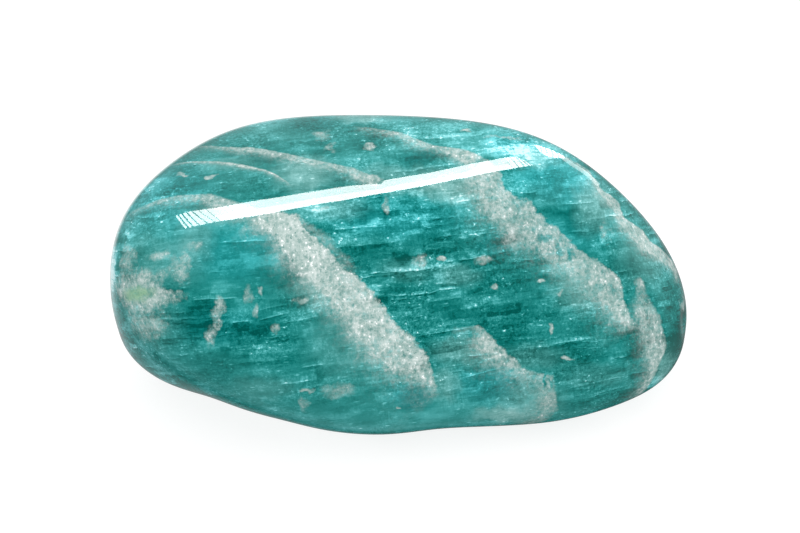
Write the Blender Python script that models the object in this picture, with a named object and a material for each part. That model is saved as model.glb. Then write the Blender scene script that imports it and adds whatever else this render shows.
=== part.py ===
"""A tumbled amazonite pebble lying on its small flat spot, in metres, +Z up, with its front towards -Y.

The stone is one solid. Tumbling wears a stone into a few broad flats that run into each other, so the surface is a
blend of worn faces, each given by the way it faces and how far it lies from the stone's core. Shallow dents and one
chip are pressed into that surface, and the underside is cut level where the stone rests.
"""

import math
from typing import NamedTuple

import bmesh
import bpy
from mathutils import Vector

NAME = "amazonite_pebble"
MM = 0.001

# Driving sizes in millimetres, measured from the core, a point inside the stone above the middle of its resting spot
REST_DROP = 6.94
HALF_SIZES = Vector((18.0, 9.3, 8.0))

# How tightly one worn face turns into the next: 2 gives an egg, and a large number gives sharp edges
TURN = 6.0

# How often the ball that the stone is shaped from is divided, for facets under a millimetre
BALL_DIVISIONS = 5
SHARP_EDGE = math.radians(30)


class WornFace(NamedTuple):
    """A broad worn flat: its compass bearing, 0 for the front and 90 for +X, its rise above level, and its reach."""

    place: str
    bearing_deg: float
    rise_deg: float
    reach_mm: float


class Dent(NamedTuple):
    """A shallow round dent: where it lies as seen from the core, how wide it is on each side, and how deep."""

    place: str
    bearing_deg: float
    rise_deg: float
    half_width_mm: float
    depth_mm: float


WORN_FACES = (
    WornFace("front", 10, 41, 7.0),
    WornFace("front low", 9, -14, 10.9),
    WornFace("left low", -25, -30, 12.2),
    WornFace("left end", -75, 9, 18.4),
    WornFace("left upper", -113, 81, 10.5),
    WornFace("top", -8, 85, 9.5),
    WornFace("top right", 58, 45, 12.3),
    WornFace("right end", 90, -14, 19.8),
    WornFace("right upper", 120, 42, 15.4),
    WornFace("right low", 51, -48, 17.9),
    WornFace("underside", 0, -89, 7.0),
    WornFace("back", 174, 11, 8.3),
    WornFace("back low", 174, -43, 9.7),
    WornFace("back right", 146, 14, 14.3),
    WornFace("back left", -141, -2, 12.8),
)

DENTS = (
    Dent("left foot", -62, -22, 2.6, 0.42),
    Dent("left foot, inner", -45, -27, 2.6, 0.24),
    Dent("front foot", 15, -34, 2.6, 0.22),
    Dent("right foot", 33, -31, 3.6, 0.30),
    Dent("left shoulder", -105, 26, 4.5, 0.08),
    Dent("left end", -81, -10, 2.5, 0.15),
    Dent("right end", 66, -19, 3.0, 0.15),
    Dent("right end chip", 84, -7, 0.9, 0.20),
)

# The stone's mean colour and polish
TEAL = (0.050, 0.290, 0.270, 1.0)
POLISHED = 0.1


def towards(bearing_deg: float, rise_deg: float) -> Vector:
    """The unit vector with this compass bearing and rise."""
    bearing, rise = math.radians(bearing_deg), math.radians(rise_deg)
    level = math.cos(rise)
    return Vector((math.sin(bearing) * level, -math.cos(bearing) * level, math.sin(rise)))


def worn_point(way: Vector) -> Vector:
    """The point of the blended worn faces that lies this way from the core.

    A flat with reach r and normal n is met where the distance times way.n is r, so way.n / r is one over the
    distance to it. The flats are blended by adding those inverses raised to the power TURN.
    """
    inverse = sum(
        max(0.0, way.dot(towards(face.bearing_deg, face.rise_deg)) / face.reach_mm) ** TURN for face in WORN_FACES
    )
    return way * inverse ** (-1.0 / TURN)


def stone_point(way: Vector, dent_centres: list[Vector]) -> Vector:
    """The worn point this way from the core, pressed in towards the core by each dent, as deep as a bell curve."""
    worn = worn_point(way)
    pressed = sum(
        dent.depth_mm * math.exp(-(worn - centre).length_squared / dent.half_width_mm**2)
        for dent, centre in zip(DENTS, dent_centres)
    )
    return worn - way * pressed


def cut_level(stone: bmesh.types.BMesh, height: float) -> None:
    """Cuts the stone off flat at this height, and closes the cut with one level face."""
    cut = bmesh.ops.bisect_plane(
        stone,
        geom=stone.verts[:] + stone.edges[:] + stone.faces[:],
        plane_co=(0.0, 0.0, height),
        plane_no=(0.0, 0.0, -1.0),
        clear_outer=True,
    )
    rim = [piece for piece in cut["geom_cut"] if isinstance(piece, bmesh.types.BMEdge)]
    bmesh.ops.edgeloop_fill(stone, edges=rim)


def stand_on_origin(stone: bmesh.types.BMesh) -> None:
    """Moves the stone so that the middle of its box's underside is the origin."""
    lowest, highest = (
        Vector([pick(vert.co[axis] for vert in stone.verts) for axis in range(3)]) for pick in (min, max)
    )
    middle = (lowest + highest) / 2
    bmesh.ops.translate(stone, vec=(-middle.x, -middle.y, -lowest.z), verts=stone.verts)


def make_pebble_mesh() -> bpy.types.Mesh:
    """The whole stone: a ball stretched to the stone's half sizes, shaped, cut level and stood on the origin."""
    dent_centres = [worn_point(towards(dent.bearing_deg, dent.rise_deg)) for dent in DENTS]
    stone = bmesh.new()
    bmesh.ops.create_icosphere(stone, subdivisions=BALL_DIVISIONS, radius=1.0)
    bmesh.ops.scale(stone, vec=HALF_SIZES, verts=stone.verts)
    for vert in stone.verts:
        vert.co = stone_point(vert.co.normalized(), dent_centres) * MM
    cut_level(stone, -REST_DROP * MM)
    stand_on_origin(stone)
    bmesh.ops.recalc_face_normals(stone, faces=stone.faces)
    mesh = bpy.data.meshes.new(NAME)
    stone.to_mesh(mesh)
    stone.free()
    mesh.shade_smooth()
    mesh.set_sharp_from_angle(angle=SHARP_EDGE)
    return mesh


def make_polished_stone() -> bpy.types.Material:
    """The plain teal polish of the stone."""
    material = bpy.data.materials.new("polished_amazonite")
    material.use_nodes = True
    shader = material.node_tree.nodes["Principled BSDF"]
    shader.inputs["Base Color"].default_value = TEAL
    shader.inputs["Roughness"].default_value = POLISHED
    shader.inputs["Metallic"].default_value = 0.0
    return material


def main() -> None:
    """Clears the scene and puts the pebble in it."""
    for old in list(bpy.data.objects):
        bpy.data.objects.remove(old)
    pebble = bpy.data.objects.new(NAME, make_pebble_mesh())
    pebble.data.materials.append(make_polished_stone())
    bpy.context.scene.collection.objects.link(pebble)


main()
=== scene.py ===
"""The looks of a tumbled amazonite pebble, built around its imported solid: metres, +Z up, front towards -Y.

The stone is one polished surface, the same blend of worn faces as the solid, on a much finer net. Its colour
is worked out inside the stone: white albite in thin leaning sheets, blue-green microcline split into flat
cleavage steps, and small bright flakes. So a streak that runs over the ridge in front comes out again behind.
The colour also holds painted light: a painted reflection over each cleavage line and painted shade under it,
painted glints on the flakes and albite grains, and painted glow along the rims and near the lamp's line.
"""

import functools
import logging
import math
import operator
from collections.abc import Iterable
from dataclasses import dataclass, field
from enum import Enum
from typing import Any, ClassVar, Optional, Union

import bpy
import numpy as np
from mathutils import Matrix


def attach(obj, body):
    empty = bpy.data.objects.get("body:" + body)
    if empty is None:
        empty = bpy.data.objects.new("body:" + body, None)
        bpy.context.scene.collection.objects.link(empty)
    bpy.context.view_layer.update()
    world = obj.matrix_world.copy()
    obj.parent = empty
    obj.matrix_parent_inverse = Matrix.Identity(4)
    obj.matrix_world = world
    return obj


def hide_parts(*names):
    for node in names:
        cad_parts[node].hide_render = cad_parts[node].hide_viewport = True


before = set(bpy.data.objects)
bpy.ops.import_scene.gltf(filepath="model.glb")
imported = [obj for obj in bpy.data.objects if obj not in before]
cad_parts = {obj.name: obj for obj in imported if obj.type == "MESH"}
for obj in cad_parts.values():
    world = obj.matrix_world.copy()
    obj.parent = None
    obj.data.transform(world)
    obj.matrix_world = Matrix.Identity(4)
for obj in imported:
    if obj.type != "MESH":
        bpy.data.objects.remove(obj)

LOG = logging.getLogger("amazonite_pebble")
NODE = "amazonite_pebble"
MM = 0.001
WHITE = (1.0, 1.0, 1.0, 1.0)

Colour = tuple[float, float, float, float]
Stops = tuple[tuple[float, Colour], ...]
Pixel = tuple[float, float]
Sizes = tuple[float, float, float]
Rows = list[tuple[float, ...]]
Number = Union[float, "Term"]


def srgb(red: float, green: float, blue: float) -> Colour:
    """Turns a display colour into linear light: straight near black, and a power of 2.4 above that.

    Args:
        red: Its red, 0 to 255.
        green: Its green.
        blue: Its blue.

    Returns:
        The colour as linear light, 0 to 1, with a solid alpha.
    """
    shares = np.array([red, green, blue]) / 255.0
    linear = np.where(shares <= 0.04045, shares / 12.92, ((shares + 0.055) / 1.055) ** 2.4)
    return (*map(float, linear), 1.0)


def shades(*rows: tuple[float, float, float, float]) -> Stops:
    """A ramp's stops, from rows of a place of 0 to 1 and a display colour of 0 to 255."""
    return tuple((place, srgb(*colour)) for place, *colour in rows)


def towards(bearing_deg: float, rise_deg: float) -> np.ndarray:
    """The unit vector with this compass bearing, 0 for the front and 90 for +X, and this rise above level."""
    bearing, rise = math.radians(bearing_deg), math.radians(rise_deg)
    return np.array([math.sin(bearing) * math.cos(rise), -math.cos(bearing) * math.cos(rise), math.sin(rise)])


def unit(vectors: np.ndarray) -> np.ndarray:
    """The vectors divided by their lengths."""
    return vectors / np.linalg.norm(vectors, axis=-1, keepdims=True)


@dataclass(frozen=True)
class PhotoView:
    """The photograph's view of the stone, in millimetres from the stone's core."""

    width_px: float = 800.0
    height_px: float = 533.0
    rise_deg: float = 40.0
    lens_mm: float = 120.0
    film_mm: float = 36.0
    px_per_mm: float = 16.0
    core_px: Pixel = (398.0, 276.0)
    nearest_mm: float = 10.0

    @property
    def focal_px(self) -> float:
        """The lens's length in pixels."""
        return self.width_px * self.lens_mm / self.film_mm

    @property
    def distance(self) -> float:
        """How far off the camera stands, so that a millimetre at the core spans px_per_mm."""
        return self.focal_px / self.px_per_mm

    def axes(self) -> tuple[np.ndarray, np.ndarray, np.ndarray]:
        """The picture's right, its up, and the way back to the camera."""
        return np.array([1.0, 0.0, 0.0]), towards(180.0, 90.0 - self.rise_deg), towards(0.0, self.rise_deg)

    def eye(self) -> np.ndarray:
        """Works out where the camera stands.

        Returns:
            Its place: back from the core, and aside by the core's distance from the picture's middle.
        """
        right, up, back = self.axes()
        aside = (self.core_px[0] - self.width_px / 2) / self.px_per_mm
        above = (self.height_px / 2 - self.core_px[1]) / self.px_per_mm
        return back * self.distance - right * aside - up * above

    def rays(self, pixels: np.ndarray) -> np.ndarray:
        """Works out the ways that pixels look: back to front, plus across and up in lens lengths.

        Args:
            pixels: Rows of x and y.

        Returns:
            The unit directions from the camera.
        """
        right, up, back = self.axes()
        across = (pixels[:, :1] - self.width_px / 2) / self.focal_px
        upward = (self.height_px / 2 - pixels[:, 1:2]) / self.focal_px
        return unit(across * right + upward * up - back)

    def add_camera(self, core: np.ndarray) -> None:
        """Puts the scene's camera at the photograph's viewing angle.

        Args:
            core: The stone's core in the row frame, in metres.
        """
        data = bpy.data.cameras.new("camera")
        data.lens = self.lens_mm
        data.sensor_width = self.film_mm
        data.clip_start = self.nearest_mm * MM
        camera = bpy.data.objects.new("camera", data)
        camera.location = core + self.eye() * MM
        camera.rotation_euler = (math.radians(90.0 - self.rise_deg), 0.0, 0.0)
        bpy.context.scene.collection.objects.link(camera)
        bpy.context.scene.camera = camera


@dataclass(frozen=True)
class WornFace:
    """A broad worn flat: the way it faces, and how far it lies from the core in millimetres."""

    place: str
    bearing_deg: float
    rise_deg: float
    reach: float


@dataclass(frozen=True)
class Dent:
    """A shallow round dent: where it lies as seen from the core, its width on each side, and its depth."""

    place: str
    bearing_deg: float
    rise_deg: float
    half_width: float
    depth: float


def box_net(counts: tuple[int, int, int]) -> tuple[np.ndarray, np.ndarray]:
    """The skin of a box as a grid of whole-numbered points, one grid to a side, welded along the box's edges.

    Args:
        counts: How many squares the box has along X, Y and Z.

    Returns:
        The points, and the squares' corners as rows of four point numbers, facing outwards.
    """
    grids, squares, start = [], [], 0
    for fixed in range(3):
        first, second = (fixed + 1) % 3, (fixed + 2) % 3
        for level in (0, counts[fixed]):
            steps = np.meshgrid(np.arange(counts[first] + 1), np.arange(counts[second] + 1), indexing="ij")
            grid = np.full(steps[0].shape + (3,), level)
            grid[..., first], grid[..., second] = steps
            number = start + np.arange(steps[0].size).reshape(steps[0].shape)
            corners = np.stack([number[:-1, :-1], number[1:, :-1], number[1:, 1:], number[:-1, 1:]], -1)
            squares.append(corners.reshape(-1, 4)[:, :: 1 if level else -1])
            grids.append(grid.reshape(-1, 3))
            start += steps[0].size
    points, renumbered = np.unique(np.concatenate(grids), axis=0, return_inverse=True)
    return points, renumbered.reshape(-1)[np.concatenate(squares)]


@dataclass
class Stone:
    """The pebble's surface in millimetres: worn faces that run into each other, dents, and a flat foot."""

    faces: tuple[WornFace, ...] = (
        WornFace("front", 10, 41, 7.0),
        WornFace("front low", 9, -14, 10.9),
        WornFace("left low", -25, -30, 12.2),
        WornFace("left end", -75, 9, 18.4),
        WornFace("left upper", -113, 81, 10.5),
        WornFace("top", -8, 85, 9.5),
        WornFace("top right", 58, 45, 12.3),
        WornFace("right end", 90, -14, 19.8),
        WornFace("right upper", 120, 42, 15.4),
        WornFace("right low", 51, -48, 17.9),
        WornFace("underside", 0, -89, 7.0),
        WornFace("back", 174, 11, 8.3),
        WornFace("back low", 174, -43, 9.7),
        WornFace("back right", 146, 14, 14.3),
        WornFace("back left", -141, -2, 12.8),
    )
    dents: tuple[Dent, ...] = (
        Dent("left foot", -62, -22, 2.6, 0.42),
        Dent("left foot, inner", -45, -27, 2.6, 0.24),
        Dent("front foot", 15, -34, 2.6, 0.22),
        Dent("right foot", 33, -31, 3.6, 0.30),
        Dent("left shoulder", -105, 26, 4.5, 0.08),
        Dent("left end", -81, -10, 2.5, 0.15),
        Dent("right end", 66, -19, 3.0, 0.15),
        Dent("right end chip", 84, -7, 0.9, 0.20),
    )
    turn: float = 6.0
    rest_drop: float = 6.94
    half_sizes: Sizes = (18.0, 9.3, 8.0)
    squares: tuple[int, int, int] = (196, 100, 100)
    search: float = 12.0
    search_steps: int = 481

    def worn_reach(self, ways: np.ndarray) -> np.ndarray:
        """Blends the faces: each gives one over its distance along a way, and those are added as powers.

        Args:
            ways: Unit vectors from the core.

        Returns:
            How far the blended faces lie from the core.
        """
        normals = np.stack([towards(face.bearing_deg, face.rise_deg) for face in self.faces], axis=1)
        reaches = np.array([face.reach for face in self.faces])
        nearness = np.maximum(ways @ normals, 0.0) / reaches
        return (nearness**self.turn).sum(axis=-1) ** (-1.0 / self.turn)

    def reach(self, ways: np.ndarray) -> np.ndarray:
        """Dents the blended faces: a bell curve of the distance from its middle for each dent.

        Args:
            ways: Unit vectors from the core.

        Returns:
            How far the dented surface lies from the core.
        """
        worn = self.worn_reach(ways)
        points = ways * worn[..., None]
        pressed = np.zeros_like(worn)
        for dent in self.dents:
            way = towards(dent.bearing_deg, dent.rise_deg)
            centre = way * self.worn_reach(way)
            away = np.linalg.norm(points - centre, axis=-1) / dent.half_width
            pressed += dent.depth * np.exp(-(away**2))
        return worn - pressed

    def outside(self, points: np.ndarray) -> np.ndarray:
        """How far points lie beyond the surface, measured from the core."""
        away = np.linalg.norm(points, axis=-1)
        return away - self.reach(points / away[..., None])

    def seen_at(self, view: PhotoView, pixels: np.ndarray) -> np.ndarray:
        """The points of the surface that these pixels of the photograph show.

        Args:
            view: The photograph's view.
            pixels: Rows of x and y.

        Returns:
            The first points along the rays that aren't outside, by small steps and a straight line between
            the last two. A ray that misses the stone gives its point nearest the core.
        """
        steps = np.linspace(view.distance - self.search, view.distance + self.search, self.search_steps)
        path = view.eye() + view.rays(pixels)[:, None, :] * steps[:, None]
        outside = self.outside(path)
        nearest = np.linalg.norm(path, axis=-1).argmin(axis=1)
        last = np.where((outside < 0).any(axis=1), (outside < 0).argmax(axis=1), nearest)
        row = np.arange(len(pixels))
        before, after = outside[row, last - 1], outside[row, last]
        share = np.clip(before / np.where(before > after, before - after, 1.0), 0.0, 1.0)[:, None]
        return path[row, last - 1] * (1 - share) + path[row, last] * share

    def normals_at(self, points: np.ndarray, step: float = 0.02) -> np.ndarray:
        """Works out normals: how fast the distance outside grows along each axis.

        Args:
            points: Places on the surface.
            step: How far to each side of them the distance is taken.

        Returns:
            The outward unit normals.
        """
        shifts = np.eye(3) * step
        slopes = [self.outside(points + shift) - self.outside(points - shift) for shift in shifts]
        return unit(np.stack(slopes, axis=-1))

    def net(self) -> tuple[np.ndarray, np.ndarray]:
        """Nets the surface: a box's skin bent round to a ball, stretched to the half sizes so that its
        squares stay even, pushed out to the reach, and pressed flat where the stone rests.

        Returns:
            The points, and the squares' corners as rows of four point numbers.
        """
        steps, squares = box_net(self.squares)
        bent = np.tan((2.0 * steps / np.array(self.squares) - 1.0) * math.pi / 4)
        ways = unit(bent * np.array(self.half_sizes))
        points = ways * self.reach(ways)[:, None]
        points[:, 2] = np.maximum(points[:, 2], -self.rest_drop)
        return points, squares

    def core(self, points: np.ndarray) -> np.ndarray:
        """Where the core lies, in metres, when the middle of the box's underside is the origin."""
        middle = (points.min(axis=0) + points.max(axis=0)) / 2
        return np.array([-middle[0], -middle[1], self.rest_drop]) * MM


@dataclass(frozen=True)
class Term:
    """A number, vector or colour in a shader. Arithmetic on a number adds Math nodes."""

    desk: "Desk"
    socket: Any

    def __add__(self, other: Number) -> "Term":
        """The sum."""
        return self.desk.math("ADD", self, other)

    def __sub__(self, other: Number) -> "Term":
        """The difference."""
        return self.desk.math("SUBTRACT", self, other)

    def __rsub__(self, other: Number) -> "Term":
        """The difference from a plain number."""
        return self.desk.math("SUBTRACT", other, self)

    def __mul__(self, other: Number) -> "Term":
        """The product."""
        return self.desk.math("MULTIPLY", self, other)

    def __truediv__(self, other: Number) -> "Term":
        """The quotient."""
        return self.desk.math("DIVIDE", self, other)

    __radd__ = __add__
    __rmul__ = __mul__

    def output(self, name: str) -> "Term":
        """Another output of the same node."""
        return Term(self.desk, self.socket.node.outputs[name])

    def at_least(self, low: Number) -> "Term":
        """The larger of the two."""
        return self.desk.math("MAXIMUM", self, low)

    def at_most(self, high: Number) -> "Term":
        """The smaller of the two."""
        return self.desk.math("MINIMUM", self, high)

    def size(self) -> "Term":
        """The number without its sign."""
        return self.desk.math("ABSOLUTE", self)

    def whole(self) -> "Term":
        """The whole number below."""
        return self.desk.math("FLOOR", self)

    def rest(self) -> "Term":
        """What is left above the whole number below."""
        return self.desk.math("FRACT", self)

    def fading(self) -> "Term":
        """The number e to the power of minus this one."""
        return self.desk.math("EXPONENT", self * -1.0)

    def ramp(self, low: Number, high: Number) -> "Term":
        """A smooth rise from 0 where the number is low to 1 where it is high. It never leaves 0 to 1, so the
        node's own clamp is off."""
        settings = {"interpolation_type": "SMOOTHSTEP", "clamp": False}
        inputs = {"Value": self, "From Min": low, "From Max": high}
        return self.desk.node("ShaderNodeMapRange", settings, inputs)


class CellShape(Enum):
    """How far off a scattered point is: by the straight way, or by its largest part along the axes."""

    ROUND = "EUCLIDEAN"
    SQUARE = "CHEBYCHEV"


class Desk:
    """The node tree of one material, with one method that adds any node."""

    def __init__(self, tree: bpy.types.NodeTree) -> None:
        """Empties the tree that the nodes go into."""
        self.tree = tree
        tree.nodes.clear()

    def node(self, kind: str, settings: dict[str, Any], inputs: dict[Any, Any], output: Any = 0) -> Term:
        """Adds a node.

        Args:
            kind: The node's type.
            settings: Its own settings, set first: attributes, a ramp's stops or a curve's points.
            inputs: Values, or Terms to link, by the socket's name or number.
            output: The name or number of the socket that is returned.

        Returns:
            The chosen output.
        """
        made = self.tree.nodes.new(kind)
        for name, value in settings.items():
            if name == "stops":
                self._set_stops(made.color_ramp, value)
            elif name == "curve":
                self._set_curve(made.mapping, value)
            else:
                setattr(made, name, value)
        for name, value in inputs.items():
            if isinstance(value, Term):
                self.tree.links.new(value.socket, made.inputs[name])
            else:
                made.inputs[name].default_value = value
        return Term(self, made.outputs[output])

    def end(self, kind: str, inputs: dict[Any, Any], output: str = "ShaderNodeOutputMaterial") -> None:
        """Adds the last shader and the output node that it goes into."""
        shader = self.node(kind, {}, inputs)
        made = self.tree.nodes.new(output)
        self.tree.links.new(shader.socket, made.inputs["Surface"])

    @staticmethod
    def _set_stops(ramp: bpy.types.ColorRamp, stops: Stops) -> None:
        """Gives a colour ramp its stops.

        Args:
            ramp: The node's ramp.
            stops: The places and colours.
        """
        while len(ramp.elements) < len(stops):
            ramp.elements.new(1.0)
        for element, (place, colour) in zip(ramp.elements, stops):
            element.position = place
            element.color = colour

    @staticmethod
    def _set_curve(mapping: bpy.types.CurveMapping, points: np.ndarray) -> None:
        """Gives a curve its points, joined by straight lines.

        Args:
            mapping: The node's curve.
            points: Rows of x and y from 0 to 1.
        """
        curve = mapping.curves[0]
        while len(curve.points) < len(points):
            curve.points.new(1.0, 1.0)
        for point, place in zip(curve.points, points):
            point.location = place
            point.handle_type = "VECTOR"
        mapping.extend = "HORIZONTAL"
        mapping.update()

    def math(self, operation: str, *values: Number) -> Term:
        """Adds a Math node on up to three numbers."""
        return self.node("ShaderNodeMath", {"operation": operation}, dict(enumerate(values)))

    def vector(self, operation: str, *values: Any, output: str = "Vector") -> Term:
        """Adds a Vector Math node on up to three vectors."""
        return self.node("ShaderNodeVectorMath", {"operation": operation}, dict(enumerate(values)), output)

    def along(self, place: Term, axis: np.ndarray) -> Term:
        """How far a place lies along an axis: their dot product."""
        return self.vector("DOT_PRODUCT", place, tuple(axis), output="Value")

    def joined(self, first: Number, second: Number, third: Number) -> Term:
        """Three numbers as one vector."""
        return self.node("ShaderNodeCombineXYZ", {}, {"X": first, "Y": second, "Z": third})

    def noise(self, place: Term, scale: float, detail: float = 2.0, roughness: float = 0.5) -> Term:
        """Soft noise about 0, within about a half either way."""
        inputs = {"Vector": place, "Scale": scale, "Detail": detail, "Roughness": roughness}
        return self.node("ShaderNodeTexNoise", {}, inputs, "Fac") - 0.5

    def shifts(self, place: Term, scale: float, most: float) -> Term:
        """Adds noise that pushes a pattern about.

        Args:
            place: Where the noise is taken.
            scale: How fine it is.
            most: About how far it pushes at most.

        Returns:
            The push, a vector about 0.
        """
        inputs = {"Vector": place, "Scale": scale, "Detail": 2.0}
        noise = self.node("ShaderNodeTexNoise", {}, inputs, "Color")
        return self.vector("MULTIPLY_ADD", noise, (2 * most,) * 3, (-most,) * 3)

    def chances(self, place: Term) -> list[Term]:
        """Draws by chance for each whole-numbered place.

        Args:
            place: The place.

        Returns:
            Three even random numbers of 0 to 1.
        """
        colour = self.node("ShaderNodeTexWhiteNoise", {"noise_dimensions": "3D"}, {"Vector": place}, "Color")
        red = self.node("ShaderNodeSeparateColor", {}, {"Color": colour}, "Red")
        return [red, red.output("Green"), red.output("Blue")]

    def cells(self, place: Term, scale: float, shape: CellShape = CellShape.ROUND) -> tuple[Term, Term]:
        """Adds scattered points.

        Args:
            place: Where they are looked for.
            scale: How many there are to a unit of it.
            shape: How their distance is measured.

        Returns:
            How far off the nearest point is, and an even random number of 0 to 1 for it.
        """
        inputs = {"Vector": place, "Scale": scale}
        away = self.node("ShaderNodeTexVoronoi", {"distance": shape.value}, inputs, "Distance")
        return away, self.node("ShaderNodeSeparateColor", {}, {"Color": away.output("Color")}, "Red")

    def mix(self, share: Number, start: Any, end: Any) -> Term:
        """A colour this share of the way from start to end."""
        return self.node("ShaderNodeMix", {"data_type": "RGBA"}, {0: share, 6: start, 7: end}, 2)

    def ramp(self, share: Term, stops: Stops) -> Term:
        """A colour from a ramp."""
        return self.node("ShaderNodeValToRGB", {"stops": stops}, {"Fac": share}, "Color")


def new_look(name: str) -> tuple[bpy.types.Material, Desk]:
    """Starts a material.

    Args:
        name: Its name.

    Returns:
        The material, and the desk for its nodes.
    """
    material = bpy.data.materials.new(name)
    material.use_nodes = True
    return material, Desk(material.node_tree)


def total(terms: Iterable[Term]) -> Term:
    """The sum, added up in order."""
    return functools.reduce(operator.add, terms)


@dataclass(frozen=True)
class Rise:
    """A smooth rise from 0 at the low value to its height at the high one, which may be the smaller."""

    low: float
    high: float
    height: float = 1.0

    def of(self, term: Term) -> Term:
        """The rise for a number. A height of 1 takes no node of its own."""
        rise = term.ramp(self.low, self.high)
        return rise if self.height == 1.0 else rise * self.height


@dataclass(frozen=True)
class Lattice:
    """The directions that the crystal gives the stone's marks, as unit vectors of the row frame."""

    sheet: np.ndarray = field(default_factory=lambda: unit(np.array([0.497, 0.860, -0.117])))
    dip: np.ndarray = field(default_factory=lambda: unit(np.array([0.682, -0.470, -0.560])))
    step: np.ndarray = field(default_factory=lambda: unit(np.array([-0.116, 0.603, 0.789])))
    grain: np.ndarray = field(default_factory=lambda: unit(np.array([0.993, 0.070, 0.092])))

    @property
    def across(self) -> np.ndarray:
        """The level direction square to the grain and the steps."""
        return np.cross(self.step, self.grain)


@dataclass(frozen=True)
class Places:
    """A point of the stone, in millimetres, measured in the ways that the patterns need."""

    desk: Desk
    view: PhotoView
    stone: Stone
    lattice: Lattice
    spot: Term
    picture: Term
    ragged: Term
    grain: Term
    across: Term
    up: Term
    depth: Term
    dip: Term
    waver: ClassVar[tuple[float, float]] = (1.5, 0.07)
    tatter: ClassVar[tuple[float, float]] = (1.3, 0.5)

    @classmethod
    def of(cls, desk: Desk, core: np.ndarray, view: PhotoView, stone: Stone, lattice: Lattice) -> "Places":
        """Measures the shaded point from the core, along the crystal's directions and the picture's. The
        picture's place wavers a little, and the ragged one is pushed about by up to half a millimetre.

        Args:
            desk: The material's nodes.
            core: The stone's core in the row frame, in metres.
            view: The photograph's view.
            stone: The stone.
            lattice: The crystal's directions.

        Returns:
            The measured places.
        """
        spot = desk.node("ShaderNodeTexCoord", {}, {}, "Object")
        spot = desk.vector("MULTIPLY_ADD", spot, (1 / MM,) * 3, tuple(-core / MM))
        straight = desk.joined(*(desk.along(spot, axis) for axis in view.axes()))
        picture = desk.vector("ADD", straight, desk.shifts(spot, *cls.waver))
        ragged = desk.vector("ADD", straight, desk.shifts(spot, *cls.tatter))
        axes = (lattice.grain, lattice.across, lattice.step, lattice.sheet, lattice.dip)
        lengths = (desk.along(spot, axis) for axis in axes)
        return cls(desk, view, stone, lattice, spot, picture, ragged, *lengths)

    def lattice_place(self, grain: float, across: float, up: float) -> Term:
        """The place along the crystal's directions, each divided by the size given for it."""
        return self.desk.joined(self.grain / grain, self.across / across, self.up / up)

    def seen(self, pixels: list[Pixel]) -> np.ndarray:
        """The points of the stone that these pixels of the photograph show."""
        return self.stone.seen_at(self.view, np.array(pixels))

    def in_picture(self, pixels: list[Pixel]) -> np.ndarray:
        """The same points measured along the picture's right, its up and the way back to the camera."""
        return self.seen(pixels) @ np.stack(self.view.axes()).T


@dataclass(frozen=True)
class Grain:
    """Soft noise in the stone: its sizes along the grain, across it and up, in millimetres, its scale, detail
    and roughness, and what it adds. Without sizes it is the same all ways."""

    sizes: Optional[Sizes]
    scale: float
    detail: float
    roughness: float = 0.5
    adds: float = 1.0

    def noise(self, at: Places) -> Term:
        """The noise about 0, within about a half either way."""
        place = at.lattice_place(*self.sizes) if self.sizes else at.spot
        return at.desk.noise(place, self.scale, self.detail, self.roughness)

    def tint(self, at: Places) -> Term:
        """The noise times what it adds."""
        return self.noise(at) * self.adds


@dataclass(frozen=True)
class CrestPoint:
    """A point on a streak's sharp edge: its pixel, and how thick and how white the sheet is there."""

    x: float
    y: float
    thick: float
    white: float


@dataclass(frozen=True)
class Streak:
    """A sheet of white albite, sharp on its right side in front and fading out on the other. Millimetres."""

    name: str
    crest: tuple[CrestPoint, ...]
    feather: float = 0.35
    fringe: float = 0.12
    ragged: float = 1.0


@dataclass(frozen=True)
class Patch:
    """A soft round patch seen in the photograph: its pixel, its half sizes in pixels, and what it adds."""

    x: float
    y: float
    wide: float
    high: float
    adds: float


@dataclass(frozen=True)
class Ledge:
    """A straight cleavage line seen in the photograph, from its left pixel to its right one, with a painted
    reflection on its upper side and painted shade under it. It is low to high and deep in millimetres, and
    its falls are shares of its height."""

    start: Pixel
    end: Pixel
    bright: float
    dark: float
    low: float = -0.7
    high: float = 0.3
    deep: float = 3.0
    half_line: float = 0.015
    dark_fall: float = 0.3
    bright_fall: float = 0.10
    tail: float = 0.25
    ends: Rise = Rise(1.0, 0.6)

    def light(self, at: Places) -> Term:
        """How much the line's painted reflection and painted shade lighten and darken the stone.

        It is measured in its own frame: along it in half lengths, upwards from low to high and inwards in
        shares of its depth. Its light over the height comes from one curve, and it fades at both ends.

        Args:
            at: The places.

        Returns:
            What the line adds.
        """
        ends = at.in_picture([self.start, self.end])
        run = ends[1] - ends[0]
        angle = math.atan2(run[1], run[0])
        up = np.array([-math.sin(angle), math.cos(angle), 0.0])
        inputs = {
            "Vector": at.picture,
            "Location": tuple(ends.mean(axis=0) + up * self.low),
            "Rotation": (0.0, 0.0, angle),
            "Scale": (float(np.hypot(run[0], run[1])) / 2, self.high - self.low, self.deep),
        }
        inner = at.desk.node("ShaderNodeMapping", {"vector_type": "TEXTURE"}, inputs)
        side = at.desk.node("ShaderNodeSeparateXYZ", {}, {"Vector": inner}, "X")
        line = -self.low / (self.high - self.low)
        curve = np.array([
            (0.0, 0.5), (line - self.dark_fall, 0.5 - self.dark * self.tail),
            (line - self.half_line, 0.5 - self.dark), (line + self.half_line, 0.5 + self.bright),
            (line + self.bright_fall, 0.5 + self.bright * self.tail), (1.0, 0.5),
        ])
        light = at.desk.node("ShaderNodeFloatCurve", {"curve": curve}, {"Value": side.output("Y")}) - 0.5
        return light * self.ends.of(side.size().at_least(side.output("Z").size()))


@dataclass(frozen=True)
class StepSize:
    """One size of small cleavage steps: their spacing, length and depth in millimetres, the strength of their
    lines, how many lines show, and how much one block differs from the next."""

    height: float
    length: float
    depth: float
    strength: float
    share: float
    block: float


def crest(*points: tuple[float, float, float, float]) -> tuple[CrestPoint, ...]:
    """A crest from rows of x, y, thickness and whiteness."""
    return tuple(CrestPoint(*point) for point in points)


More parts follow.
